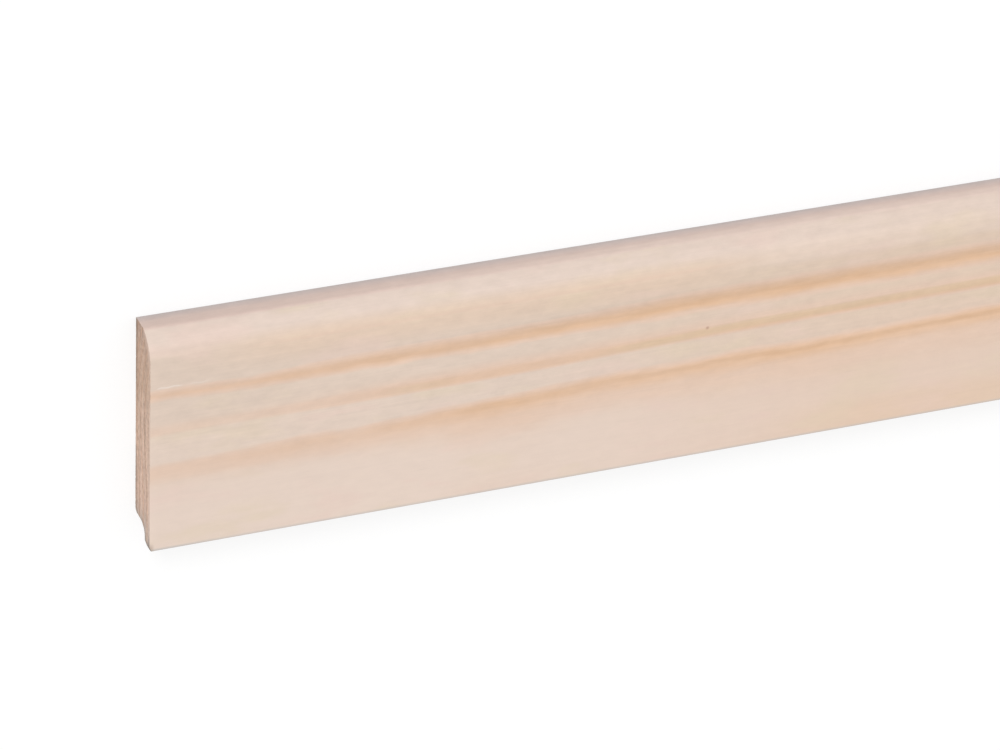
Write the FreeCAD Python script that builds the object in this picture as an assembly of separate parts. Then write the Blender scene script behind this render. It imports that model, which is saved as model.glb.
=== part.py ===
import FreeCAD
import Part
import math
import os

# A length of softwood skirting board, planed all round from one plank, with a rounded top edge.
# It is modelled as a loose length lies on a floor: on its back, with its face up.
# X runs along the board. Y runs from its bottom edge to its top edge, which is up on the wall.
# Z runs from its back, which goes against the wall, to its face. All sizes are in millimetres.

# Overall size of the planed board
LENGTH = 2400.0
HEIGHT = 70.0
THICKNESS = 13.0

# Top edge: a flat strip next to the wall, then a round nose down into the face
TOP_STRIP = 6.6
NOSE_RADIUS = 9.5

# Relief cut out of the back's lower edge, which leaves a thin foot at the face
RELIEF_HEIGHT = 6.2
FOOT_THICKNESS = 4.3
FOOT_STRAIGHT = 2.4

# Radii of the corners, which are eased
TOP_BACK_EASE = 0.3
RELIEF_BACK_EASE = 1.6
FACE_BOTTOM_EASE = 0.5
FOOT_BACK_EASE = 0.6


def section_point(y, z):
    """A point of the board's section, at the board's left end."""
    return FreeCAD.Vector(-LENGTH / 2, y, z)


def round_edge(centre_y, centre_z, radius, start_angle, end_angle):
    """An arc of the section. Angles are in degrees, from +Y towards +Z."""
    points = []
    for angle in (start_angle, (start_angle + end_angle) / 2, end_angle):
        turn = math.radians(angle)
        points.append(section_point(centre_y + radius * math.cos(turn), centre_z + radius * math.sin(turn)))
    return Part.Arc(*points).toShape()


def board_section():
    """The closed outline of the board, as edges in order from the back, over the top and down the face."""
    bottom = -HEIGHT / 2
    top = HEIGHT / 2
    relief_top = bottom + RELIEF_HEIGHT
    foot_back = THICKNESS - FOOT_THICKNESS
    cove_radius = RELIEF_HEIGHT - FOOT_STRAIGHT
    nose_centre_z = THICKNESS - NOSE_RADIUS
    nose_start = math.asin((TOP_STRIP - nose_centre_z) / NOSE_RADIUS)
    nose_centre_y = top - NOSE_RADIUS * math.cos(nose_start)

    arcs = [
        round_edge(top - TOP_BACK_EASE, TOP_BACK_EASE, TOP_BACK_EASE, -90, 0),
        round_edge(nose_centre_y, nose_centre_z, NOSE_RADIUS, math.degrees(nose_start), 90),
        round_edge(bottom + FACE_BOTTOM_EASE, THICKNESS - FACE_BOTTOM_EASE, FACE_BOTTOM_EASE, 90, 180),
        round_edge(bottom + FOOT_BACK_EASE, foot_back + FOOT_BACK_EASE, FOOT_BACK_EASE, 180, 270),
        round_edge(relief_top - cove_radius, foot_back - cove_radius, cove_radius, 90, 0),
        round_edge(relief_top + RELIEF_BACK_EASE, RELIEF_BACK_EASE, RELIEF_BACK_EASE, 180, 270),
    ]
    edges = []
    for index, arc in enumerate(arcs):
        next_arc = arcs[(index + 1) % len(arcs)]
        edges.append(arc)
        edges.append(Part.LineSegment(arc.lastVertex().Point, next_arc.firstVertex().Point).toShape())
    return Part.Wire(edges)


def skirting_board():
    """The whole board, with both ends sawn square."""
    return Part.Face(board_section()).extrude(FreeCAD.Vector(LENGTH, 0, 0))


os.makedirs("parts", exist_ok=True)
board = skirting_board()
board.exportStep("parts/skirting_board.step")
print("skirting_board valid", board.isValid(), "volume", round(board.Volume / 1000), "cm3")
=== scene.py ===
import math

import bpy
import numpy as np
from mathutils import Matrix, Vector
from mathutils.geometry import delaunay_2d_cdt
from mathutils.kdtree import KDTree


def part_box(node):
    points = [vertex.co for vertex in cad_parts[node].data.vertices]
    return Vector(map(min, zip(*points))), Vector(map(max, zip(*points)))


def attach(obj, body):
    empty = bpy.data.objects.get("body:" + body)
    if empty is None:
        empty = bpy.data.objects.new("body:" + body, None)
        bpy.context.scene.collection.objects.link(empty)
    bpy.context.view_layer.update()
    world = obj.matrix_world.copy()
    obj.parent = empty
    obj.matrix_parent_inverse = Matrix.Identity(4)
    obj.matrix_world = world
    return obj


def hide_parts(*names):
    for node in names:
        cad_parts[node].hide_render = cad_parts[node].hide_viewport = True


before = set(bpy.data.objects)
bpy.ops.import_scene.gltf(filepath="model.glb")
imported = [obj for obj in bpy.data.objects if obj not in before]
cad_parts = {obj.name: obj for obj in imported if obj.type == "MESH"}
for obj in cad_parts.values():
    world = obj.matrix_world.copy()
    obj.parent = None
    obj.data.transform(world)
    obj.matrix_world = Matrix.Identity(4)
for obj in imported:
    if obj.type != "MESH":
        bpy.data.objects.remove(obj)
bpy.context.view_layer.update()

# The board lies on its back. X runs along it, Y from its bottom edge to its rounded top edge and Z
# from its back to its face. Sizes are in metres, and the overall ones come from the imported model.
BOARD_LOW, BOARD_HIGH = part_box("skirting_board")
LENGTH = BOARD_HIGH.x - BOARD_LOW.x
BOTTOM_EDGE = BOARD_LOW.y
TOP_EDGE = BOARD_HIGH.y
BACK = BOARD_LOW.z
FACE = BOARD_HIGH.z

# The section, as the planer left it
TOP_STRIP = 0.0066
NOSE_RADIUS = 0.0095
RELIEF_HEIGHT = 0.0062
FOOT_THICKNESS = 0.0043
FOOT_STRAIGHT = 0.0024
TOP_BACK_EASE = 0.0003
RELIEF_BACK_EASE = 0.0016
FACE_BOTTOM_EASE = 0.0005
FOOT_BACK_EASE = 0.0006

# How finely the board is meshed: across its section, and at stations that crowd towards its ends.
# Points nearer than the merge distance become one, and turns sharper than the crease stay crisp.
SECTION_STEP = 0.0005
ARC_STEP_DEGREES = 11.0
RIM_ROW = 0.0002
STATIONS = 91
STATION_CROWDING = 2.2
MERGE_DISTANCE = 0.000005
CREASE_ANGLE = math.radians(30)

# How deep the saw, handling and torn fibres have marked the two ends, and how far those marks reach
SAW_MARK_DEPTH = 0.00005
FIBRE_DEPTH = 0.00004
RIM_WEAR = 0.00006
CORNER_WEAR = 0.0006
CORNER_REACH = 0.0018
WEAR_REACH = 0.004

# How far the grain stands off the planed faces and off the sawn ends
PLANED_RELIEF = 0.00002
SAWN_RELIEF = 0.00006

# The map for baking: the gap round its islands, and the share of its height that both ends take
BAKE_GAP = 0.006
BAKE_ENDS = 0.1

# The camera of the photograph, as it stands to a board fitted on a wall: turned to the left of its
# face, lifted above it and tipped. The corner pixel is where the face's bottom left corner shows,
# from the top left of a picture of 1000 x 750 pixels.
PICTURE_WIDTH = 1000
PICTURE_HEIGHT = 750
SENSOR_WIDTH = 36.0
FOCAL_PIXELS = 4670.66
CAMERA_TURN = math.radians(-23.108)
CAMERA_LIFT = math.radians(31.640)
CAMERA_TIP = math.radians(2.950)
CAMERA_DISTANCE = 1.3148
CORNER_PIXEL = (149.2, 552.65)

# Studio light: a white room all round, and one broad weak lamp above the board's top edge. The floor
# throws back less light than a white one, and glows for the camera, so that its shadow stays faint.
KEY_FROM = Vector((-0.35, 0.70, 0.62))
KEY_STRENGTH = 0.94
KEY_SPREAD = math.radians(20)
ROOM_LIGHT = 0.784
FLOOR_BOUNCE = 0.6
FLOOR_TONE = 0.9
FLOOR_GLOW = 1.1
FLOOR_GLOW_SHARE = 0.65
FLOOR_SIZE = 30.0

# Growth rings, in millimetres from the back bottom corner of the left end. The tree's heart lies
# behind the board, and its rings are nearest the face along a line that slowly climbs and falls.
MILLIMETRES = 1000.0
CROWN_HEIGHT = 39.7
CROWN_SWING = 5.0
CROWN_SWING_LENGTH = 476.0
RING_BOW = 112.0
LOWER_FLATTENING = 24.0
RING_GAP = 3.4
FIRST_RING_DEPTH = 12.0
RING_SLOPE = 0.0015

# Single marks near the left end, in the same millimetres
SPECK_ALONG = 168.7
SPECK_HEIGHT = 43.4
SCRATCH_HEIGHT = 53.9


class Value:
    """One output of a node. Python's arithmetic on it adds Math nodes to its tree."""

    def __init__(self, tree, socket):
        self.tree = tree
        self.socket = socket

    def __add__(self, other):
        return self.tree.math("ADD", self, other)

    def __sub__(self, other):
        return self.tree.math("SUBTRACT", self, other)

    def __mul__(self, other):
        return self.tree.math("MULTIPLY", self, other)

    def __truediv__(self, other):
        return self.tree.math("DIVIDE", self, other)

    def __pow__(self, other):
        return self.tree.math("POWER", self, other)

    def __radd__(self, other):
        return self.tree.math("ADD", other, self)

    def __rsub__(self, other):
        return self.tree.math("SUBTRACT", other, self)

    def __rmul__(self, other):
        return self.tree.math("MULTIPLY", other, self)

    def __neg__(self):
        return self.tree.math("MULTIPLY", self, -1.0)


class Outputs:
    """The outputs of one node, read by name."""

    def __init__(self, tree, node):
        self.tree = tree
        self.node = node

    def __getitem__(self, name):
        found = [socket for socket in self.node.outputs if socket.enabled and socket.name == name]
        return Value(self.tree, found[0])


class Tree:
    """A node tree that Python fills."""

    def __init__(self, node_tree):
        self.nodes = node_tree.nodes
        self.links = node_tree.links

    def node(self, kind, settings=None, inputs=None):
        """Adds a node, sets it up, then gives its inputs values or links. An input goes by name or place."""
        made = self.nodes.new(kind)
        for name, value in (settings or {}).items():
            if name == "stops":
                self.set_stops(made.color_ramp, value)
            else:
                setattr(made, name, value)
        sockets = [socket for socket in made.inputs if socket.enabled]
        for name, value in (inputs or {}).items():
            socket = sockets[name] if isinstance(name, int) else next(s for s in sockets if s.name == name)
            for one in value if isinstance(value, list) else [value]:
                if isinstance(one, Value):
                    self.links.new(one.socket, socket)
                else:
                    socket.default_value = one
        return Outputs(self, made)

    def set_stops(self, ramp, stops):
        """Gives a ramp its stops, each a place from 0 to 1 and a colour."""
        while len(ramp.elements) > 1:
            ramp.elements.remove(ramp.elements[-1])
        for index, (place, colour) in enumerate(stops):
            element = ramp.elements[0] if index == 0 else ramp.elements.new(place)
            element.position = place
            element.color = colour

    def math(self, operation, *values):
        """What a Math node makes of the values."""
        return self.node("ShaderNodeMath", {"operation": operation}, dict(enumerate(values)))["Value"]

    def ramp(self, value, stops):
        """The colour that the stops give at a value from 0 to 1."""
        return self.node("ShaderNodeValToRGB", {"stops": stops}, {"Fac": value})["Color"]

    def step(self, value, low, high):
        """0 where the value is low, 1 where it is high, and a smooth change between them."""
        settings = {"interpolation_type": "SMOOTHSTEP"}
        inputs = {"Value": value, "From Min": low, "From Max": high}
        return self.node("ShaderNodeMapRange", settings, inputs)["Result"]

    def hump(self, value, start, full, still_full, end):
        """1 from full to still_full, and 0 before the start and past the end."""
        return self.step(value, start, full) * (1.0 - self.step(value, still_full, end))

    def mix(self, share, first, second, blend="MIX"):
        """A colour between two others, or the first with the second blended over it."""
        settings = {"data_type": "RGBA", "blend_type": blend}
        return self.node("ShaderNodeMix", settings, {"Factor": share, "A": first, "B": second})["Result"]

    def mix_values(self, share, first, second):
        """The first number where the share is 0, the second where it is 1."""
        return first + share * (second - first)

    def shade(self, colour, level):
        """The colour, lighter or darker by a level about 1."""
        return self.mix(1.0, colour, self.vector(level, level, level), "MULTIPLY")

    def parts(self, vector):
        """A vector's three values."""
        made = self.node("ShaderNodeSeparateXYZ", inputs={0: vector})
        return made["X"], made["Y"], made["Z"]

    def vector(self, x, y, z):
        """A vector of three values."""
        return self.node("ShaderNodeCombineXYZ", inputs={"X": x, "Y": y, "Z": z})["Vector"]

    def noise(self, x, y, z, detail=1.0, roughness=0.5):
        """Soft noise about 0.5 with features one unit apart, over three values."""
        inputs = {"Vector": self.vector(x, y, z), "Scale": 1.0, "Detail": detail, "Roughness": roughness}
        return self.node("ShaderNodeTexNoise", {"noise_dimensions": "3D"}, inputs)["Fac"]


def paint(red, green, blue):
    """A colour as it is read off a picture, 0 to 255, in Blender's linear values."""
    linear = []
    for level in (red, green, blue):
        share = level / 255
        linear.append(share / 12.92 if share <= 0.04045 else ((share + 0.055) / 1.055) ** 2.4)
    return (*linear, 1.0)


def grey(level):
    """A grey in Blender's linear values."""
    return (level, level, level, 1.0)


def round_edge(centre_y, centre_z, radius, start, end):
    """Points of an arc of the section. Angles are in degrees, from +Y towards +Z."""
    turn = abs(end - start)
    steps = max(math.ceil(turn / ARC_STEP_DEGREES), math.ceil(radius * math.radians(turn) / SECTION_STEP))
    angles = np.radians(np.linspace(start, end, steps + 1))
    return np.stack([centre_y + radius * np.cos(angles), centre_z + radius * np.sin(angles)], axis=1)


def section_outline():
    """The board's section as a closed row of (y, z) points, from the back, over the top and down the face."""
    relief_top = BOTTOM_EDGE + RELIEF_HEIGHT
    foot_back = FACE - FOOT_THICKNESS
    cove = RELIEF_HEIGHT - FOOT_STRAIGHT
    nose_z = FACE - NOSE_RADIUS
    nose_start = math.asin((BACK + TOP_STRIP - nose_z) / NOSE_RADIUS)
    nose_y = TOP_EDGE - NOSE_RADIUS * math.cos(nose_start)

    # The top back corner, the nose, the foot's front and back corners, the cove and the relief's back corner
    arcs = [
        round_edge(TOP_EDGE - TOP_BACK_EASE, BACK + TOP_BACK_EASE, TOP_BACK_EASE, -90, 0),
        round_edge(nose_y, nose_z, NOSE_RADIUS, math.degrees(nose_start), 90),
        round_edge(BOTTOM_EDGE + FACE_BOTTOM_EASE, FACE - FACE_BOTTOM_EASE, FACE_BOTTOM_EASE, 90, 180),
        round_edge(BOTTOM_EDGE + FOOT_BACK_EASE, foot_back + FOOT_BACK_EASE, FOOT_BACK_EASE, 180, 270),
        round_edge(relief_top - cove, foot_back - cove, cove, 90, 0),
        round_edge(relief_top + RELIEF_BACK_EASE, BACK + RELIEF_BACK_EASE, RELIEF_BACK_EASE, 180, 270),
    ]
    points = []
    for index, arc in enumerate(arcs):
        straight = arcs[(index + 1) % len(arcs)][0] - arc[-1]
        steps = max(1, round(float(np.hypot(*straight)) / SECTION_STEP))
        points.extend(arc)
        points.extend(arc[-1] + straight * step / steps for step in range(1, steps))
    return np.array(points)


def within(points, outline, clearance):
    """Which points are inside the outline and at least the clearance from it."""
    starts = outline[None, :, :]
    ends = np.roll(outline, -1, axis=0)[None, :, :]
    places = points[:, None, :]
    runs = ends - starts
    shares = np.clip(((places - starts) * runs).sum(axis=2) / (runs**2).sum(axis=2), 0, 1)
    gaps = np.linalg.norm(places - starts - shares[:, :, None] * runs, axis=2).min(axis=1)

    # A line from a point inside crosses the outline an odd number of times
    spans = (starts[:, :, 0] > places[:, :, 0]) != (ends[:, :, 0] > places[:, :, 0])
    rise = np.where(runs[:, :, 0] == 0, 1.0, runs[:, :, 0])
    crossing = starts[:, :, 1] + (places[:, :, 0] - starts[:, :, 0]) * runs[:, :, 1] / rise
    crossed = (spans & (crossing > places[:, :, 1])).sum(axis=1)
    return (crossed % 2 == 1) & (gaps > clearance)


def sawn_end_mesh(outline):
    """A flat, finely meshed plate of the board's section, at x = 0 and facing +X."""
    row_gap = SECTION_STEP * math.sqrt(3) / 2
    grid = []
    for index, y in enumerate(np.arange(BOTTOM_EDGE, TOP_EDGE, row_gap)):
        shift = SECTION_STEP / 2 * (index % 2)
        grid.extend((y, z) for z in np.arange(BACK + shift, FACE, SECTION_STEP))
    grid = np.array(grid)
    clear_of_rim_row = RIM_ROW + SECTION_STEP * 0.45
    grid = grid[within(grid, outline, clear_of_rim_row)]

    # A row of points just inside the rim, without those that corners crowd together
    along = np.roll(outline, -1, axis=0) - np.roll(outline, 1, axis=0)
    along /= np.linalg.norm(along, axis=1)[:, None]
    inward = np.stack([-along[:, 1], along[:, 0]], axis=1)
    rim_row = outline + inward * RIM_ROW
    rim_row = rim_row[within(rim_row, outline, RIM_ROW * 0.9)]

    points = [Vector(point) for point in np.concatenate([outline, rim_row, grid]).tolist()]
    count = len(outline)
    edges = [(index, (index + 1) % count) for index in range(count)]
    keep_inside = 1
    same_point = 1e-7
    found, _, faces, _, _, _ = delaunay_2d_cdt(points, edges, [], keep_inside, same_point)
    mesh = bpy.data.meshes.new("sawn_end")
    mesh.from_pydata([(0.0, point[0], point[1]) for point in found], [], [tuple(face) for face in faces])
    return mesh


def board_tree():
    """Geometry nodes that sweep the section into the planed faces and close them with two sawn ends."""
    group = bpy.data.node_groups.new("board_from_section", "GeometryNodeTree")
    named = group.interface
    named.new_socket(name="Section", in_out="INPUT", socket_type="NodeSocketGeometry")
    sizes = ["Length", "Station Crowding", "Saw Mark Depth", "Fibre Depth", "Rim Wear", "Rim Row"]
    sizes += ["Corner Wear", "Corner Reach", "Wear Reach", "Bottom Edge", "Face"]
    for name in sizes:
        named.new_socket(name=name, in_out="INPUT", socket_type="NodeSocketFloat")
    named.new_socket(name="Stations", in_out="INPUT", socket_type="NodeSocketInt")
    named.new_socket(name="Planed Pine", in_out="INPUT", socket_type="NodeSocketMaterial")
    named.new_socket(name="Sawn Pine", in_out="INPUT", socket_type="NodeSocketMaterial")
    named.new_socket(name="Board", in_out="OUTPUT", socket_type="NodeSocketGeometry")
    tree = Tree(group)
    given = tree.node("NodeGroupInput")
    plate = given["Section"]
    half = given["Length"] / 2.0

    # The outline lies in the rail's own plane, where its y and z point backwards
    neighbours = tree.node("GeometryNodeInputMeshEdgeNeighbors")["Face Count"]
    only_one = {0: neighbours, 1: 1}
    on_rim = tree.node("FunctionNodeCompare", {"data_type": "INT", "operation": "EQUAL"}, only_one)["Result"]
    outline = tree.node("GeometryNodeMeshToCurve", inputs={0: plate, "Selection": on_rim})["Curve"]
    _, y, z = tree.parts(tree.node("GeometryNodeInputPosition")["Position"])
    flat = {"Geometry": outline, "Position": tree.vector(-y, -z, 0.0)}
    profile = tree.node("GeometryNodeSetPosition", inputs=flat)["Geometry"]

    line_ends = {"Start": (-1, 0, 0), "End": (1, 0, 0)}
    line = tree.node("GeometryNodeCurvePrimitiveLine", inputs=line_ends)["Curve"]
    resampled = {"Curve": line, "Count": given["Stations"]}
    rail = tree.node("GeometryNodeResampleCurve", inputs=resampled)["Curve"]
    share, _, _ = tree.parts(tree.node("GeometryNodeInputPosition")["Position"])
    crowded = 1.0 - (1.0 - tree.math("ABSOLUTE", share)) ** given["Station Crowding"]
    station = tree.math("SIGN", share) * crowded * half
    placed = {"Geometry": rail, "Position": tree.vector(station, 0.0, 0.0)}
    rail = tree.node("GeometryNodeSetPosition", inputs=placed)["Geometry"]
    sides = tree.node("GeometryNodeCurveToMesh", inputs={"Curve": rail, "Profile Curve": profile})["Mesh"]

    to_left = {"Geometry": plate, "Translation": tree.vector(-half, 0.0, 0.0)}
    to_right = {"Geometry": plate, "Translation": tree.vector(half, 0.0, 0.0)}
    left = tree.node("GeometryNodeTransform", inputs=to_left)["Geometry"]
    left = tree.node("GeometryNodeFlipFaces", inputs={"Mesh": left})["Mesh"]
    right = tree.node("GeometryNodeTransform", inputs=to_right)["Geometry"]
    joined = tree.node("GeometryNodeJoinGeometry", inputs={0: [sides, left, right]})["Geometry"]
    touching = {"Geometry": joined, "Distance": MERGE_DISTANCE}
    board = tree.node("GeometryNodeMergeByDistance", inputs=touching)["Geometry"]

    # The ends' rims stay crisp, and every softer turn of the section is shaded smooth
    turn = tree.node("GeometryNodeInputMeshEdgeAngle")["Unsigned Angle"]
    gentle = {0: turn, 1: CREASE_ANGLE}
    soft = tree.node("FunctionNodeCompare", {"operation": "LESS_THAN"}, gentle)["Result"]
    board = tree.node("GeometryNodeSetShadeSmooth", inputs={0: board})["Geometry"]
    smooth = {0: board, "Shade Smooth": soft}
    board = tree.node("GeometryNodeSetShadeSmooth", {"domain": "EDGE"}, smooth)["Geometry"]

    # How far each point of an end is from its rim, which the sawn pine's painted shade round the foot follows
    from_rim = tree.node("GeometryNodeProximity", {"target_element": "FACES"}, {0: sides})["Distance"]
    kept = {"Geometry": board, "Name": "from_rim", "Value": from_rim}
    on_points = {"data_type": "FLOAT", "domain": "POINT"}
    board = tree.node("GeometryNodeStoreNamedAttribute", on_points, kept)["Geometry"]

    inward = end_wear(tree, given, half, from_rim)
    board = tree.node("GeometryNodeSetPosition", inputs={"Geometry": board, "Offset": inward})["Geometry"]
    board = tree.node("GeometryNodeRealizeInstances", inputs={"Geometry": board})["Geometry"]
    planed = {"Geometry": board, "Material": given["Planed Pine"]}
    board = tree.node("GeometryNodeSetMaterial", inputs=planed)["Geometry"]
    facing, _, _ = tree.parts(tree.node("GeometryNodeInputNormal")["Normal"])
    endwise = {0: tree.math("ABSOLUTE", facing), 1: 0.5}
    is_end = tree.node("FunctionNodeCompare", {"operation": "GREATER_THAN"}, endwise)["Result"]
    sawn = {"Geometry": board, "Selection": is_end, "Material": given["Sawn Pine"]}
    board = tree.node("GeometryNodeSetMaterial", inputs=sawn)["Geometry"]
    tree.node("NodeGroupOutput", inputs={"Board": board})
    return group


def end_wear(tree, given, half, from_rim):
    """How far each point near an end is pressed in by the saw, torn fibres, and rim and foot corner wear."""
    x, y, z = tree.parts(tree.node("GeometryNodeInputPosition")["Position"])
    side = tree.math("SIGN", x)
    from_end = half - tree.math("ABSOLUTE", x)
    fade = tree.math("MAXIMUM", 1.0 - from_end / given["Wear Reach"], 0.0)
    rim = 1.0 - tree.step(from_rim, 0.0, given["Rim Row"])

    seed = side * 37.0
    marks = tree.noise(seed, y * 90.0, z * 1100.0)
    fibres = tree.noise(seed + 9.0, y * 900.0, z * 1300.0)
    torn = tree.step(tree.noise(seed + 20.0, y * 420.0, z * 700.0), 0.62, 0.72)
    chips = tree.step(tree.noise(seed + 31.0, y * 650.0, z * 650.0), 0.58, 0.72)
    depth = marks * given["Saw Mark Depth"] + (fibres + 2.0 * torn) * given["Fibre Depth"]
    rim_depth = rim * given["Rim Wear"] * (0.5 + 1.5 * chips)
    foot = 1.0 - tree.step(y - given["Bottom Edge"], 0.0, given["Corner Reach"])
    front = 1.0 - tree.step(given["Face"] - z, 0.0, given["Corner Reach"])
    worn = foot * (0.75 + 0.25 * front) * given["Corner Wear"] * (0.8 - 0.2 * side)
    inward = -side * fade * (depth + rim_depth + worn)
    return tree.vector(inward, 0.0, 0.0)


def wood_place(tree):
    """Millimetres along the board, up it and out from its back, from the left end's back bottom corner."""
    place = tree.node("ShaderNodeTexCoord")["Object"]
    corner = (LENGTH / 2 * MILLIMETRES, -BOTTOM_EDGE * MILLIMETRES, -BACK * MILLIMETRES)
    inputs = {"Vector": place, "Location": corner, "Scale": (MILLIMETRES, MILLIMETRES, MILLIMETRES)}
    return tree.parts(tree.node("ShaderNodeMapping", inputs=inputs)["Vector"])


def growth_rings(tree, along, up, out):
    """How many rings each place is from the first ring's edge, and its height above the crown line."""
    crown = CROWN_HEIGHT + CROWN_SWING * tree.math("SINE", along / CROWN_SWING_LENGTH)
    away = up - crown
    above = tree.math("MAXIMUM", away, 0.0)
    below = tree.math("MAXIMUM", -away, 0.0)
    flattening = 1.0 + (below / LOWER_FLATTENING) ** 3.0
    bend = (above * above + below * below / flattening) / RING_BOW
    ripple = tree.noise(along * 0.03, up * 0.06, out * 0.1, detail=2.0) - 0.5
    fine_ripple = tree.noise(along * 0.12, up * 0.45, out * 0.45) - 0.5
    sway = tree.noise(along * 0.004, up * 0.03, out * 0.05) - 0.5
    dip = tree.step(away, -2.0, 2.0) * tree.hump(along, -40.0, 50.0, 110.0, 190.0)
    wander = 0.22 * ripple + 0.16 * fine_ripple + 2.4 * sway * tree.step(along, 230.0, 900.0) - 0.14 * dip
    depth = out - bend - RING_SLOPE * along + wander
    return (FIRST_RING_DEPTH - depth) / RING_GAP, away


def first_ring_bands(tree, along, ring, away):
    """The face's two strong bands: their late wood, how dark it is, and how bright the wood beside it is."""
    # Rings are counted away from the crown line, so the side of a band that faces it is the sharp one
    upper_side = tree.step(away, -2.0, 2.0)
    upper, upper_dark, upper_bright = upper_band(tree, along, ring)
    lower, lower_dark, lower_bright = lower_band(tree, along, ring)
    between = 0.5 * tree.hump(away, -7.5, -5.0, -2.0, -0.5)
    bands = tree.mix_values(upper_side, lower, upper)
    dark = tree.mix_values(upper_side, lower_dark, upper_dark)
    bright = tree.mix_values(upper_side, lower_bright, upper_bright) + between
    return bands, dark, bright


def upper_band(tree, along, ring):
    """The band above the crown line: it widens and strengthens along the board, and gains a dark core."""
    width = 0.85 + 0.35 * tree.step(along, 20.0, 70.0) + 0.3 * tree.step(along, 90.0, 180.0)
    line = 0.5 + 0.24 * tree.step(along, 0.0, 70.0) + 0.18 * tree.step(along, 70.0, 190.0)
    start = -0.08 - 0.03 * tree.step(along, 120.0, 160.0)
    band = line * tree.hump(ring, start, 0.08, 0.06 * width, 0.32 * width)

    # Pale wood under the band, which narrows to its lower edge and has a few paler spots
    further = tree.step(along, 120.0, 170.0)
    rim = tree.hump(ring, -0.3, -0.06, 0.02 + 0.06 * further, 0.15)
    rim = rim * (tree.step(along, 20.0, 60.0) + 0.1 * further)
    rim = rim + 1.5 * tree.step(along, 100.0, 125.0) * tree.hump(ring, 0.0, 0.05, 0.07, 0.12)
    pale_spots = tree.hump(along, 52.0, 62.0, 75.0, 85.0) + 0.7 * tree.hump(along, 92.0, 98.0, 108.0, 118.0)
    rim = rim + 1.3 * pale_spots * tree.hump(ring, -0.09, -0.04, 0.03, 0.08)

    over_core = ring - 0.07 * tree.hump(along, 130.0, 145.0, 155.0, 170.0)
    core = 1.7 * tree.hump(over_core, 0.09, 0.19, 0.24, 0.5)
    dark = tree.mix_values(tree.step(along, 50.0, 130.0), band, core)
    return band, dark, rim


def lower_band(tree, along, ring):
    """The band below the crown line: a line that grows along the board, with a warm glow under it."""
    growing = 0.11 * tree.step(along, 5.0, 40.0) + 0.3 * tree.step(along, 50.0, 110.0)
    line = 0.09 + growing + 0.1 * tree.step(along, 160.0, 190.0)
    unbroken = 1.0 - 0.4 * tree.hump(along, 53.0, 57.0, 60.0, 67.0)
    ring = ring + 0.015 + 0.033 * tree.hump(along, 70.0, 120.0, 180.0, 200.0)
    band = line * unbroken * tree.hump(ring, -0.08, 0.08, 0.06, 0.32)

    # The glow is faint at the left end, and strongest and widest in one patch and towards the right
    patch = tree.hump(along, 80.0, 100.0, 110.0, 138.0)
    stronger = 0.16 * patch + 0.13 * tree.step(along, 105.0, 150.0)
    reach = 0.5 + 0.14 * tree.step(along, 40.0, 100.0) + 0.06 * patch + 0.1 * tree.step(along, 140.0, 180.0)
    faint_end = 0.09 * (1.0 - tree.step(along, 15.0, 50.0))
    glow = (0.24 - faint_end + stronger) * tree.hump(ring, -0.05, 0.13, 0.16, reach)

    # Bright wood under the band and, towards the right, round its dark core
    below_band = tree.step(along, 40.0, 130.0) + 0.6 * tree.hump(along, 50.0, 65.0, 92.0, 108.0)
    right_part = tree.step(along, 125.0, 155.0)
    round_core = 1.2 * right_part + 0.8 * tree.step(along, 185.0, 205.0)
    rim = tree.hump(ring, -0.04, 0.14, 0.3, 0.7) * below_band
    rim = rim + round_core * tree.hump(ring, -0.07, 0.02, 0.15, 0.22)

    core = 1.8 * tree.hump(ring, 0.04, 0.085, 0.105, 0.155)
    dark = tree.mix_values(right_part, band, core)
    return band + glow, dark, rim


def other_rings(tree, along, ring):
    """Half rings behind the first: one faint at the left end, and all of them plainer further along."""
    halves = ring * 2.0
    number = tree.math("FLOOR", halves)
    share = tree.math("FRACT", halves)
    behind = tree.math("GREATER_THAN", number, 0.5)
    second = tree.math("COMPARE", number, 2.0, 0.5)
    chance = tree.node("ShaderNodeTexWhiteNoise", {"noise_dimensions": "1D"}, {"W": number})["Value"]
    further = tree.step(along, 260.0, 900.0)
    faint = 0.13 * second * tree.hump(along, 15.0, 45.0, 150.0, 200.0)
    weight = faint + (0.3 + 0.45 * chance) * further
    return behind * weight * tree.hump(share, 0.0, 0.2, 0.25, 0.8)


def late_wood(tree, along, up, out):
    """The late wood from 0 to about 1, how dark it is, how bright the wood beside it is, and how olive."""
    ring, away = growth_rings(tree, along, up, out)
    bands, dark, bright = first_ring_bands(tree, along, ring, away)
    slow = tree.noise(along * 0.012, up * 0.05, out * 0.05, detail=2.0)
    broken = tree.noise(along * 0.08, up * 0.5, out * 0.5, detail=2.0)
    strength = (0.85 + 0.3 * slow) * (0.75 + 0.5 * broken)
    streak, olive = middle_streak(tree, along, away)
    total = bands + other_rings(tree, along, ring) + streak
    return total * strength, dark * strength, bright, olive


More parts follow.
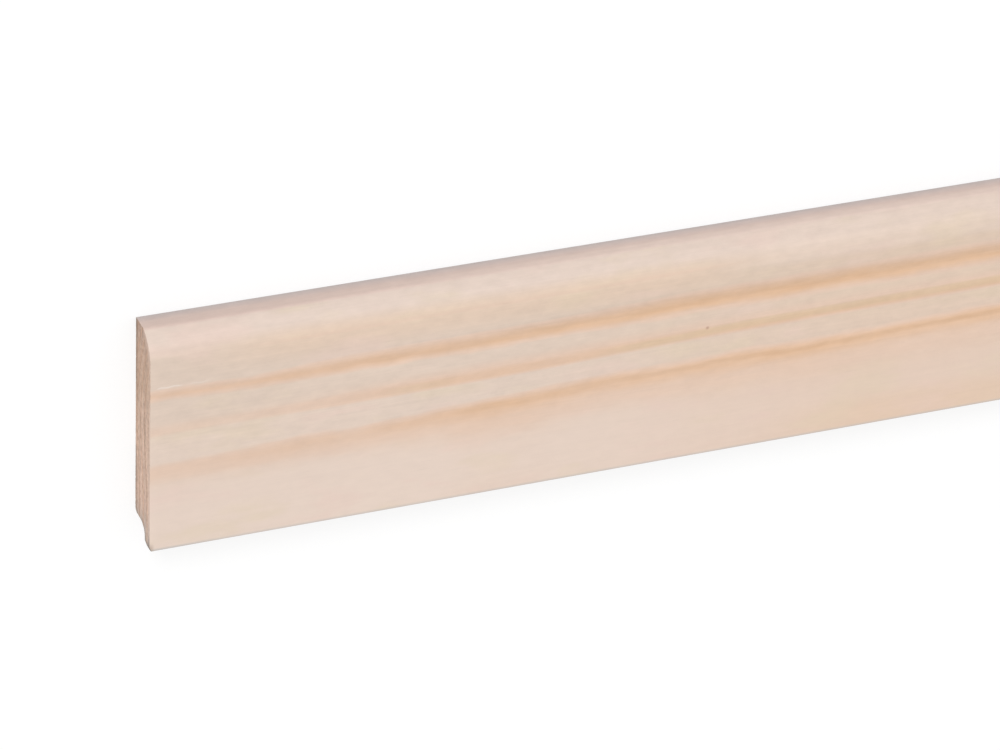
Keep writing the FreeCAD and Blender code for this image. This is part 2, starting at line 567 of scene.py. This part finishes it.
def middle_streak(tree, along, away):
    """The fainter streak between the bands, which fades in and out along the board, and its olive core."""
    height = away + 0.4 * tree.hump(along, 20.0, 60.0, 110.0, 140.0) - 0.5 * tree.step(along, 120.0, 175.0)
    lower = tree.step(height, -2.4, -0.6)
    upper = 0.6 * (1.0 - tree.step(height, 0.4, 2.8)) + 0.4 * (1.0 - tree.step(height, 1.2, 6.2))
    length = (0.28 + 0.72 * tree.step(along, 20.0, 110.0)) * (1.0 - tree.step(along, 380.0, 620.0))
    streak = (0.56 + 0.08 * tree.step(along, 150.0, 210.0)) * lower * upper * length
    olive_part = 0.5 * tree.hump(along, 66.0, 77.0, 83.0, 94.0) + tree.hump(along, 130.0, 150.0, 380.0, 620.0)
    over_core = height - 0.9 * tree.step(along, 150.0, 185.0)
    return streak, olive_part * tree.hump(over_core, -2.0, -0.8, 0.4, 1.4)


def early_wood(tree, along, up, out):
    """Pale early wood: duller towards the top edge, yellower away from the left end, paler round the nose."""
    height = tree.step(up, 11.0, 54.0)
    near_end = tree.mix(height, paint(231, 211, 197), paint(223, 203, 187))
    warm_foot = tree.hump(along, 180.0, 225.0, 300.0, 420.0) * (1.0 - tree.step(up, 5.0, 14.0))
    onward = tree.mix(height, paint(230, 206, 189), paint(223, 200, 180))
    onward = tree.mix(warm_foot, onward, paint(229, 202, 179))
    colour = tree.mix(tree.step(along, 90.0, 230.0), near_end, onward)
    colour = tree.mix(0.8 * tree.step(up, 63.0, 67.5), colour, paint(228, 209, 197))
    below_nose = tree.hump(up, 54.0, 61.0, 63.5, 67.5) * tree.hump(along, 0.0, 50.0, 150.0, 190.0)
    colour = tree.mix(0.7 * below_nose, colour, paint(229, 203, 181))
    pale_nose = tree.hump(up, 59.0, 62.0, 65.0, 68.0) * tree.hump(along, 165.0, 200.0, 260.0, 420.0)
    colour = tree.mix(0.6 * pale_nose, colour, paint(230, 210, 196))

    patches = tree.noise(along * 0.035 + 4.0, up * 0.1, out * 0.1, detail=3.0)
    colour = tree.mix(0.35 * tree.step(patches, 0.46, 0.3), colour, paint(232, 204, 192))
    return tree.mix(0.35 * tree.step(patches, 0.54, 0.7), colour, paint(225, 207, 180))


def strip_tone_and_shade(tree, along, out):
    """The top strip's colour: a pinkish wood tone, with painted shade that greys it towards its back arris,
    and painted light that makes it paler by the nose away from the end.
    """
    # From the back arris to the nose: the pinkish tone, with painted shade that is darkest at the back
    tones = [
        (0.1, paint(200, 188, 184)),
        (0.25, paint(209, 192, 186)),
        (0.5, paint(218, 196, 186)),
        (0.8, paint(218, 195, 184)),
        (0.95, paint(223, 199, 188)),
    ]
    tone = tree.ramp(out / 7.0, tones)
    # Painted light: paler by the nose away from the left end, in place of a softer arris
    paler = 0.9 * tree.step(along, 10.0, 160.0) * tree.step(out, 3.3, 5.2)
    return tree.mix(paler, tone, paint(230, 208, 196))


def single_marks(tree, along, up, out, colour):
    """A pin speck, a pale scratch by the upper band, and painted shade along the bottom arris and in the
    front bottom corner.
    """
    face = tree.step(out, 11.0, 12.6)
    off_speck = tree.math("SQRT", (along - SPECK_ALONG) ** 2.0 + (up - SPECK_HEIGHT) ** 2.0)
    speck = face * (1.0 - tree.step(off_speck, 0.15, 0.75))
    colour = tree.mix(0.6 * speck, colour, paint(176, 136, 118))
    wave = 1.4 * (tree.noise(along * 0.25, 2.0, 5.0) - 0.5)
    off_scratch = tree.math("ABSOLUTE", up - SCRATCH_HEIGHT - wave)
    ends = tree.hump(along, 1.5, 3.0, 8.0, 10.0) + 0.5 * tree.hump(along, 11.0, 13.0, 16.0, 18.0)
    scratch = face * (1.0 - tree.step(off_scratch, 0.05, 0.4)) * ends
    colour = tree.mix(0.5 * scratch, colour, paint(240, 228, 218))
    # Painted shade along the bottom arris, stronger near the left end and near the face
    arris = (1.0 - tree.step(up, 0.3, 1.3)) * (0.85 - 0.25 * tree.step(along, 5.0, 25.0))
    arris = arris * (0.4 + 0.6 * tree.step(out, 11.6, 12.6))
    colour = tree.mix(arris, colour, paint(199, 193, 188))
    # Painted shade in the front bottom corner at the left end
    corner = (1.0 - tree.step(along, 0.3, 1.8)) * (1.0 - tree.step(up, 1.0, 3.5))
    return tree.mix(0.7 * corner, colour, paint(176, 156, 140))


def planed_pine():
    """Planed, unfinished pine: pale early wood, peach late wood, mottle, fine fibres and resin canals."""
    material = bpy.data.materials.new("planed_pine")
    material.use_nodes = True
    tree = Tree(material.node_tree)
    tree.nodes.clear()
    along, up, out = wood_place(tree)
    late, dark, bright, olive = late_wood(tree, along, up, out)
    early = early_wood(tree, along, up, out)
    late_tones = [
        (0.25, paint(228, 200, 180)),
        (0.6, paint(226, 192, 165)),
        (0.85, paint(223, 186, 154)),
        (1.0, paint(219, 180, 146)),
    ]
    colour = tree.mix(tree.step(late, 0.0, 0.25), early, tree.ramp(late, late_tones))
    colour = tree.mix(0.25 * olive, colour, paint(205, 190, 150))
    # The top strip takes its pinkish tone, with painted shade and painted light
    colour = tree.mix(tree.step(up, 69.55, 69.95), colour, strip_tone_and_shade(tree, along, out))
    colour = single_marks(tree, along, up, out, colour)

    # Fibres run with the board, and resin canals are short dark dashes among them
    fibres = tree.noise(along * 0.03, up * 2.6, out * 2.6, detail=2.0, roughness=0.6)
    threads = tree.noise(along * 0.009, up * 0.7, out * 0.7, detail=2.0)
    canals = tree.step(tree.noise(along * 0.09 + 7.0, up * 3.0, out * 3.0), 0.72, 0.8)
    mottle = tree.noise(along * 0.2, up * 0.42, out * 0.42, detail=3.0, roughness=0.6)
    plainer_foot = 0.45 + 0.55 * tree.step(up, 17.0, 34.0)
    level = 1.0 + plainer_foot * (0.18 * (mottle - 0.5) + 0.07 * (fibres - 0.5) + 0.06 * (threads - 0.5))
    rubbed_end = 1.0 - tree.step(along, 0.5, 3.0)
    level = level - 0.05 * canals - 0.03 * dark + 0.025 * bright + 0.02 * rubbed_end
    colour = tree.shade(colour, level)
    relief = fibres + 0.6 * threads + 0.5 * late - 0.6 * canals
    finish_wood(tree, colour, 0.62 - 0.14 * late, relief, PLANED_RELIEF)
    return material


def sawn_pine():
    """The sawn ends: end grain that soaks up light, with ring lines, saw streaks and torn fibres."""
    material = bpy.data.materials.new("sawn_pine")
    material.use_nodes = True
    tree = Tree(material.node_tree)
    tree.nodes.clear()
    along, up, out = wood_place(tree)
    ring, _ = growth_rings(tree, along, up, out)
    rings = tree.hump(tree.math("FRACT", ring), 0.0, 0.06, 0.12, 0.5)
    right_end = tree.step(along, 100.0, 200.0)
    end = right_end * 40.0

    # From the foot up, as shares of the board's height: the end grain's tone, with painted shade in the grey
    # foot and towards the top. The right end's foot takes the tone found 7 mm up, without that painted shade.
    tones = [
        (0.0, paint(172, 162, 153)),
        (0.04, paint(195, 179, 169)),
        (0.085, paint(210, 191, 179)),
        (0.14, paint(219, 193, 177)),
        (0.2, paint(228, 197, 179)),
        (0.49, paint(224, 194, 175)),
        (0.63, paint(220, 191, 172)),
        (0.73, paint(211, 181, 160)),
        (0.86, paint(209, 179, 159)),
        (0.93, paint(204, 175, 157)),
        (0.99, paint(190, 162, 146)),
    ]
    tone_height = tree.math("MAXIMUM", up, 7.0 * right_end)
    colour = tree.ramp(tone_height / ((TOP_EDGE - BOTTOM_EDGE) * MILLIMETRES), tones)
    colour = tree.mix(0.65 * rings, colour, paint(198, 160, 134))

    # Streaks run up the end, and are coarse, fine and mottled
    streaks = tree.noise(up * 0.035, out * 0.42 + end, 3.0, detail=2.0, roughness=0.6)
    fine_streaks = tree.noise(up * 0.14, out * 1.3 + end, 8.0, detail=2.0)
    mottle = tree.noise(up * 0.55, out * 0.75 + end, 12.0, detail=3.0, roughness=0.65)
    pits = tree.step(tree.noise(up * 0.8, out * 1.3 + end, 17.0), 0.64, 0.74)
    pale_streak = tree.hump(out, 4.6, 5.8, 7.0, 8.2) * tree.hump(up, 7.0, 11.0, 24.0, 34.0)
    level = 1.02 + 0.5 * (streaks - 0.5) + 0.6 * (fine_streaks - 0.5) + 0.95 * (mottle - 0.5)
    colour = tree.shade(colour, level + 0.09 * pale_streak)
    colour = tree.mix(0.45 * pits, colour, paint(166, 128, 102))
    torn = tree.step(tree.noise(up * 0.45, out * 1.1 + end, 25.0, detail=2.0), 0.57, 0.68)
    colour = tree.mix(0.45 * torn, colour, paint(238, 214, 188))
    colour = end_edges(tree, right_end, up, out, colour)

    relief = fine_streaks + streaks - 1.5 * pits + 0.5 * mottle
    finish_wood(tree, colour, 0.85 - 0.1 * rings, relief, SAWN_RELIEF)
    return material


def end_edges(tree, right_end, up, out, colour):
    """The sawn end's edges: painted shade along the back and round the foot, and paler towards the face."""
    from_rim = tree.node("ShaderNodeAttribute", {"attribute_name": "from_rim"})["Fac"] * MILLIMETRES
    # Painted shade along the back edge, less at mid height and more low down and at the top
    back = 1.0 - tree.step(out, 0.5, 2.8)
    less_shaded_middle = 1.0 - 0.75 * tree.hump(up, 24.0, 30.0, 42.0, 52.0)
    back_shade = 0.4 + 0.2 * tree.hump(up, 12.0, 16.0, 20.0, 24.0) + 0.2 * tree.step(up, 58.0, 66.0)
    colour = tree.mix(back_shade * back * less_shaded_middle, colour, paint(142, 122, 106))
    # Painted shade round the foot near the rim, half as strong at the right end
    foot = (1.0 - tree.step(up, 7.0, 10.0)) * (1.0 - 0.5 * right_end)
    colour = tree.mix(0.4 * foot * (1.0 - tree.step(from_rim, 0.1, 1.6)), colour, paint(150, 138, 126))
    # Painted shade over the lowest few millimetres, much weaker at the right end
    foot_corner_shade = (1.0 - tree.step(up, 0.6, 3.0)) * (0.6 - 0.45 * right_end)
    colour = tree.mix(foot_corner_shade, colour, paint(122, 114, 105))

    # Paler towards the face and round the nose, less so between 47 and 61 mm up
    nose_y = (TOP_EDGE - BOTTOM_EDGE - NOSE_RADIUS) * MILLIMETRES
    nose_z = (FACE - BACK - NOSE_RADIUS) * MILLIMETRES
    over = tree.math("MAXIMUM", up - nose_y, 0.0)
    from_face = NOSE_RADIUS * MILLIMETRES - tree.math("SQRT", over * over + (out - nose_z) ** 2.0)
    paler_by_face = tree.step(out, 5.5, 8.0) * (1.0 - tree.step(from_face, 0.0, 2.2)) * tree.step(up, 2.5, 6.0)
    paler_by_face = paler_by_face * (0.6 - 0.35 * tree.hump(up, 47.0, 52.0, 56.0, 61.0))
    return tree.mix(paler_by_face, colour, paint(236, 212, 196))


def finish_wood(tree, colour, roughness, relief, relief_height):
    """Gives a wood its shader: bare, with little sheen, and with its relief as bump."""
    bump = tree.node("ShaderNodeBump", inputs={"Height": relief, "Distance": relief_height})["Normal"]
    inputs = {
        "Base Color": colour,
        "Roughness": roughness,
        "Normal": bump,
        "IOR": 1.5,
        "Specular IOR Level": 0.35,
    }
    wood = tree.node("ShaderNodeBsdfPrincipled", inputs=inputs)["BSDF"]
    tree.node("ShaderNodeOutputMaterial", inputs={"Surface": wood})


def bake_map(mesh, outline):
    """A UV map for baking: the planed faces unrolled round the section, and both ends under them."""
    edge_lengths = np.linalg.norm(np.roll(outline, -1, axis=0) - outline, axis=1)
    rounds = np.concatenate([[0.0], np.cumsum(edge_lengths)]) / edge_lengths.sum()
    lookup = KDTree(len(outline))
    for index, (y, z) in enumerate(outline):
        lookup.insert((y, z, 0.0), index)
    lookup.balance()

    strip_width = 1 - 2 * BAKE_GAP
    strip_height = 1 - BAKE_ENDS - BAKE_GAP
    end_scale = (0.5 - 1.5 * BAKE_GAP) / (TOP_EDGE - BOTTOM_EDGE)
    sawn = mesh.materials.find("sawn_pine")
    layer = mesh.uv_layers.new(name="OFBake")
    for face in mesh.polygons:
        corners = [mesh.vertices[mesh.loops[loop].vertex_index].co for loop in face.loop_indices]
        if face.material_index == sawn:
            first = BAKE_GAP if face.center.x < 0 else 0.5 + BAKE_GAP / 2
            places = [
                (first + (corner.y - BOTTOM_EDGE) * end_scale, BAKE_GAP + (corner.z - BACK) * end_scale)
                for corner in corners
            ]
        else:
            numbers = [lookup.find((corner.y, corner.z, 0.0))[1] for corner in corners]
            wraps = max(numbers) - min(numbers) > len(outline) / 2
            numbers = [len(outline) if wraps and number == 0 else number for number in numbers]
            shares = [corner.x / LENGTH + 0.5 for corner in corners]
            heights = [BAKE_ENDS + strip_height * rounds[number] for number in numbers]
            places = [(BAKE_GAP + strip_width * share, height) for share, height in zip(shares, heights)]
        for loop, place in zip(face.loop_indices, places):
            layer.data[loop].uv = place


def build_board():
    """The whole board as one plain mesh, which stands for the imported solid."""
    outline = section_outline()
    plate_mesh = sawn_end_mesh(outline)
    plate = bpy.data.objects.new("sawn_end", plate_mesh)
    bpy.context.scene.collection.objects.link(plate)
    group = board_tree()
    values = {
        "Length": LENGTH,
        "Station Crowding": STATION_CROWDING,
        "Saw Mark Depth": SAW_MARK_DEPTH,
        "Fibre Depth": FIBRE_DEPTH,
        "Rim Wear": RIM_WEAR,
        "Rim Row": RIM_ROW,
        "Corner Wear": CORNER_WEAR,
        "Corner Reach": CORNER_REACH,
        "Wear Reach": WEAR_REACH,
        "Bottom Edge": BOTTOM_EDGE,
        "Face": FACE,
        "Stations": STATIONS,
        "Planed Pine": planed_pine(),
        "Sawn Pine": sawn_pine(),
    }
    modifier = plate.modifiers.new("board_from_section", "NODES")
    modifier.node_group = group
    for socket in group.interface.items_tree:
        if socket.in_out == "INPUT" and socket.name in values:
            modifier[socket.identifier] = values[socket.name]
    evaluated = plate.evaluated_get(bpy.context.evaluated_depsgraph_get())
    mesh = bpy.data.meshes.new_from_object(evaluated)
    mesh.name = "pine_skirting_board"
    bpy.data.objects.remove(plate)
    bpy.data.meshes.remove(plate_mesh)
    bake_map(mesh, outline)
    board = bpy.data.objects.new("pine_skirting_board", mesh)
    bpy.context.scene.collection.objects.link(board)
    return board


def place_camera():
    """The photograph's viewing angle."""
    back = Vector(
        (
            math.sin(CAMERA_TURN) * math.cos(CAMERA_LIFT),
            math.sin(CAMERA_LIFT),
            math.cos(CAMERA_TURN) * math.cos(CAMERA_LIFT),
        )
    )
    level = Vector((0, 1, 0)).cross(back).normalized()
    upright = back.cross(level)
    right = math.cos(CAMERA_TIP) * level + math.sin(CAMERA_TIP) * upright
    up = math.cos(CAMERA_TIP) * upright - math.sin(CAMERA_TIP) * level
    corner = Vector((BOARD_LOW.x, BOTTOM_EDGE, FACE))
    across = (CORNER_PIXEL[0] - PICTURE_WIDTH / 2) / FOCAL_PIXELS * CAMERA_DISTANCE
    down = (CORNER_PIXEL[1] - PICTURE_HEIGHT / 2) / FOCAL_PIXELS * CAMERA_DISTANCE
    place = corner - across * right + down * up + CAMERA_DISTANCE * back

    data = bpy.data.cameras.new("photo_camera")
    data.sensor_fit = "HORIZONTAL"
    data.sensor_width = SENSOR_WIDTH
    data.lens = FOCAL_PIXELS * SENSOR_WIDTH / PICTURE_WIDTH
    data.clip_start = 0.05
    data.clip_end = 100.0
    camera = bpy.data.objects.new("photo_camera", data)
    turned = Matrix((right, up, back)).transposed().to_4x4()
    camera.matrix_world = Matrix.Translation(place) @ turned
    bpy.context.scene.collection.objects.link(camera)
    bpy.context.scene.camera = camera


def light_studio():
    """One broad key lamp and an even white room, which the camera sees as pure white."""
    lamp = bpy.data.lights.new("key_lamp", "SUN")
    lamp.energy = KEY_STRENGTH
    lamp.angle = KEY_SPREAD
    key = bpy.data.objects.new("key_lamp", lamp)
    key.rotation_euler = KEY_FROM.to_track_quat("Z", "Y").to_euler()
    bpy.context.scene.collection.objects.link(key)

    world = bpy.data.worlds.new("white_room")
    world.use_nodes = True
    bpy.context.scene.world = world
    tree = Tree(world.node_tree)
    tree.nodes.clear()
    seen = seen_directly(tree)
    light = {"Color": grey(1.0), "Strength": ROOM_LIGHT + (1.0 - ROOM_LIGHT) * seen}
    shown = tree.node("ShaderNodeBackground", inputs=light)["Background"]
    tree.node("ShaderNodeOutputWorld", inputs={"Surface": shown})


def seen_directly(tree):
    """1 for what the camera sees, straight or through gloss or glass."""
    path = tree.node("ShaderNodeLightPath")
    rays = path["Is Camera Ray"] + path["Is Glossy Ray"] + path["Is Transmission Ray"]
    return tree.math("MINIMUM", rays, 1.0)


def lay_floor():
    """A plain white floor that runs off into the white room and keeps the board's soft shadow."""
    reach = FLOOR_SIZE / 2
    mesh = bpy.data.meshes.new("floor")
    corners = [(-reach, -reach, BACK), (reach, -reach, BACK), (reach, reach, BACK), (-reach, reach, BACK)]
    mesh.from_pydata(corners, [], [(0, 1, 2, 3)])
    material = bpy.data.materials.new("white_floor")
    material.use_nodes = True
    tree = Tree(material.node_tree)
    tree.nodes.clear()
    seen = seen_directly(tree)
    tone = tree.mix(seen, grey(FLOOR_BOUNCE), grey(FLOOR_TONE))
    lit = tree.node("ShaderNodeBsdfDiffuse", inputs={"Color": tone})["BSDF"]
    glow = {"Color": grey(1.0), "Strength": FLOOR_GLOW}
    white = tree.node("ShaderNodeEmission", inputs=glow)["Emission"]
    shares = {0: FLOOR_GLOW_SHARE * seen, 1: lit, 2: white}
    shown = tree.node("ShaderNodeMixShader", inputs=shares)["Shader"]
    tree.node("ShaderNodeOutputMaterial", inputs={"Surface": shown})
    mesh.materials.append(material)
    floor = bpy.data.objects.new("floor", mesh)
    bpy.context.scene.collection.objects.link(floor)


board = build_board()
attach(board, "root")
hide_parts("skirting_board")

lay_floor()
light_studio()
place_camera()
bpy.context.scene.view_settings.view_transform = "Standard"
